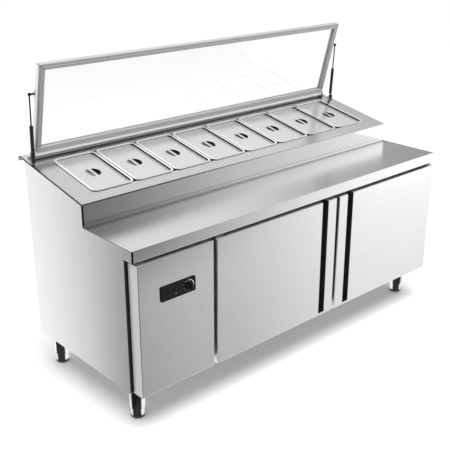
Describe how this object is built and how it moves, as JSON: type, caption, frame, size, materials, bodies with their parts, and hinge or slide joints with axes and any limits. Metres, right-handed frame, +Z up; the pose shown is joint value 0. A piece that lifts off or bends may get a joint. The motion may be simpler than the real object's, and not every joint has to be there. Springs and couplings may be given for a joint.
{
  "type": "refrigerated prep counter",
  "caption": "Stainless refrigerated prep counter with a worktop, a sloping deck of lidded food pans under a glass lid on gas struts, doors with recessed grips, a machine bay and legs.",
  "frame": {"origin": "on the floor under the middle of the whole object's bounding box", "axes": "+X along the counter to the right as seen from the front, +Y from the doors to the back, +Z up"},
  "size_m": [1.8, 0.7944, 1.3185],
  "materials": {
    "stainless_sheet": "satin",
    "inner_steel": "satin",
    "pan_steel": "satin",
    "pan_lid_steel": "satin",
    "lid_steel": "satin",
    "lid_glass": "polished",
    "foam": "matte",
    "gasket_rubber": "matte",
    "black_plastic": "satin",
    "leg_chrome": "polished",
    "wire_chrome": "polished",
    "strut_black": "satin",
    "strut_rod_steel": "polished",
    "coil_aluminium": "satin",
    "compressor_paint": "satin",
    "copper_pipe": "satin"
  },
  "bodies": {
    "cabinet": {"base_panel": "stainless_sheet", "cable_gland": "black_plastic", "cold_room_liner": "inner_steel", "compressor": "compressor_paint", "condenser": "coil_aluminium", "evaporator": "coil_aluminium", "front_frame": "inner_steel", "hinge_brackets": "lid_steel", "insulation": "foam", "left_side_panel": "stainless_sheet", "legs": "leg_chrome", "pan_deck": "stainless_sheet", "pan_well": "inner_steel", "rear_panel": "stainless_sheet", "refrigerant_pipes": "copper_pipe", "right_side_panel": "stainless_sheet", "wire_shelves": "wire_chrome", "worktop": "stainless_sheet"},
    "condenser_fan": {"condenser_fan": "black_plastic"},
    "machine_cover": {"machine_cover": "stainless_sheet", "machine_cover_gasket": "gasket_rubber", "control_panel": "black_plastic"},
    "knob": {"control_knob": "black_plastic"},
    "left_door": {"left_door_skin": "stainless_sheet", "left_door_foam": "foam", "left_door_inner_panel": "inner_steel", "left_door_grip": "black_plastic", "left_door_gasket": "gasket_rubber"},
    "right_door": {"right_door_skin": "stainless_sheet", "right_door_foam": "foam", "right_door_inner_panel": "inner_steel", "right_door_grip": "black_plastic", "right_door_gasket": "gasket_rubber"},
    "lid": {"lid_frame": "lid_steel", "lid_glass": "lid_glass", "lid_hinge_rail": "lid_steel"},
    "left_strut_tube": {"left_strut_tube": "strut_black"},
    "left_strut_rod": {"left_strut_rod": "strut_rod_steel"},
    "right_strut_tube": {"right_strut_tube": "strut_black"},
    "right_strut_rod": {"right_strut_rod": "strut_rod_steel"},
    "pan_1": {"food_pan_1": "pan_steel"},
    "pan_lid_1": {"pan_lid_1": "pan_lid_steel"},
    "pan_2": {"food_pan_2": "pan_steel"},
    "pan_lid_2": {"pan_lid_2": "pan_lid_steel"},
    "pan_3": {"food_pan_3": "pan_steel"},
    "pan_lid_3": {"pan_lid_3": "pan_lid_steel"},
    "pan_4": {"food_pan_4": "pan_steel"},
    "pan_lid_4": {"pan_lid_4": "pan_lid_steel"},
    "pan_5": {"food_pan_5": "pan_steel"},
    "pan_lid_5": {"pan_lid_5": "pan_lid_steel"},
    "pan_6": {"food_pan_6": "pan_steel"},
    "pan_lid_6": {"pan_lid_6": "pan_lid_steel"},
    "pan_7": {"food_pan_7": "pan_steel"},
    "pan_lid_7": {"pan_lid_7": "pan_lid_steel"},
    "pan_8": {"food_pan_8": "pan_steel"},
    "pan_lid_8": {"pan_lid_8": "pan_lid_steel"},
    "foot_1": {"levelling_foot_1": "leg_chrome"},
    "foot_2": {"levelling_foot_2": "leg_chrome"},
    "foot_3": {"levelling_foot_3": "leg_chrome"},
    "foot_4": {"levelling_foot_4": "leg_chrome"}
  },
  "joints": [
    {"name": "lid_hinge", "type": "hinge", "parent": "cabinet", "child": "lid", "pos_m": [0, 0.3477, 0.94043], "axis": [-1, 0, 0], "range_deg": [-86.83, 0]},
    {"name": "left_strut_pivot", "type": "hinge", "parent": "cabinet", "child": "left_strut_tube", "pos_m": [-0.886, 0.30122, 0.92805], "axis": [-1, 0, 0], "range_deg": [-96.62, 0]},
    {"name": "left_strut_slide", "type": "slide", "parent": "left_strut_tube", "child": "left_strut_rod", "axis": [0, -0.0635, 0.998], "range_m": [-0.05412, 0]},
    {"name": "right_strut_pivot", "type": "hinge", "parent": "cabinet", "child": "right_strut_tube", "pos_m": [0.886, 0.30122, 0.92805], "axis": [-1, 0, 0], "range_deg": [-96.62, 0]},
    {"name": "right_strut_slide", "type": "slide", "parent": "right_strut_tube", "child": "right_strut_rod", "axis": [0, -0.0635, 0.998], "range_m": [-0.05412, 0]},
    {"name": "machine_cover_hinge", "type": "hinge", "parent": "cabinet", "child": "machine_cover", "pos_m": [-0.866, -0.35085, 0.428], "axis": [0, 0, -1], "range_deg": [0, 100]},
    {"name": "left_door_hinge", "type": "hinge", "parent": "cabinet", "child": "left_door", "pos_m": [-0.494, -0.35085, 0.428], "axis": [0, 0, -1], "range_deg": [0, 100]},
    {"name": "right_door_hinge", "type": "hinge", "parent": "cabinet", "child": "right_door", "pos_m": [0.866, -0.35085, 0.428], "axis": [0, 0, 1], "range_deg": [0, 100]},
    {"name": "knob_turn", "type": "hinge", "parent": "machine_cover", "child": "knob", "pos_m": [-0.658, -0.39715, 0.5565], "axis": [0, 1, 0], "range_deg": [0, 270]},
    {"name": "fan_spin", "type": "hinge", "parent": "cabinet", "child": "condenser_fan", "pos_m": [-0.723, 0.25045, 0.31], "axis": [0, 1, 0], "continuous": true},
    {"name": "pan_1_lift", "type": "slide", "parent": "cabinet", "child": "pan_1", "axis": [0, -0.1965, 0.9805], "range_m": [0, 0.15]},
    {"name": "pan_lid_1_lift", "type": "slide", "parent": "pan_1", "child": "pan_lid_1", "axis": [0, -0.1965, 0.9805], "range_m": [0, 0.08]},
    {"name": "pan_2_lift", "type": "slide", "parent": "cabinet", "child": "pan_2", "axis": [0, -0.1965, 0.9805], "range_m": [0, 0.15]},
    {"name": "pan_lid_2_lift", "type": "slide", "parent": "pan_2", "child": "pan_lid_2", "axis": [0, -0.1965, 0.9805], "range_m": [0, 0.08]},
    {"name": "pan_3_lift", "type": "slide", "parent": "cabinet", "child": "pan_3", "axis": [0, -0.1965, 0.9805], "range_m": [0, 0.15]},
    {"name": "pan_lid_3_lift", "type": "slide", "parent": "pan_3", "child": "pan_lid_3", "axis": [0, -0.1965, 0.9805], "range_m": [0, 0.08]},
    {"name": "pan_4_lift", "type": "slide", "parent": "cabinet", "child": "pan_4", "axis": [0, -0.1965, 0.9805], "range_m": [0, 0.15]},
    {"name": "pan_lid_4_lift", "type": "slide", "parent": "pan_4", "child": "pan_lid_4", "axis": [0, -0.1965, 0.9805], "range_m": [0, 0.08]},
    {"name": "pan_5_lift", "type": "slide", "parent": "cabinet", "child": "pan_5", "axis": [0, -0.1965, 0.9805], "range_m": [0, 0.15]},
    {"name": "pan_lid_5_lift", "type": "slide", "parent": "pan_5", "child": "pan_lid_5", "axis": [0, -0.1965, 0.9805], "range_m": [0, 0.08]},
    {"name": "pan_6_lift", "type": "slide", "parent": "cabinet", "child": "pan_6", "axis": [0, -0.1965, 0.9805], "range_m": [0, 0.15]},
    {"name": "pan_lid_6_lift", "type": "slide", "parent": "pan_6", "child": "pan_lid_6", "axis": [0, -0.1965, 0.9805], "range_m": [0, 0.08]},
    {"name": "pan_7_lift", "type": "slide", "parent": "cabinet", "child": "pan_7", "axis": [0, -0.1965, 0.9805], "range_m": [0, 0.15]},
    {"name": "pan_lid_7_lift", "type": "slide", "parent": "pan_7", "child": "pan_lid_7", "axis": [0, -0.1965, 0.9805], "range_m": [0, 0.08]},
    {"name": "pan_8_lift", "type": "slide", "parent": "cabinet", "child": "pan_8", "axis": [0, -0.1965, 0.9805], "range_m": [0, 0.15]},
    {"name": "pan_lid_8_lift", "type": "slide", "parent": "pan_8", "child": "pan_lid_8", "axis": [0, -0.1965, 0.9805], "range_m": [0, 0.08]},
    {"name": "foot_1_screw", "type": "slide", "parent": "cabinet", "child": "foot_1", "axis": [0, 0, -1], "range_m": [0, 0.03]},
    {"name": "foot_2_screw", "type": "slide", "parent": "cabinet", "child": "foot_2", "axis": [0, 0, -1], "range_m": [0, 0.03]},
    {"name": "foot_3_screw", "type": "slide", "parent": "cabinet", "child": "foot_3", "axis": [0, 0, -1], "range_m": [0, 0.03]},
    {"name": "foot_4_screw", "type": "slide", "parent": "cabinet", "child": "foot_4", "axis": [0, 0, -1], "range_m": [0, 0.03]}
  ],
  "couplings": [
    {"joint": "left_strut_pivot", "follows": "lid_hinge", "ratio": 1.1069},
    {"joint": "left_strut_slide", "follows": "lid_hinge", "m_per_rad": 0.035049},
    {"joint": "right_strut_pivot", "follows": "lid_hinge", "ratio": 1.1069},
    {"joint": "right_strut_slide", "follows": "lid_hinge", "m_per_rad": 0.035049}
  ]
}
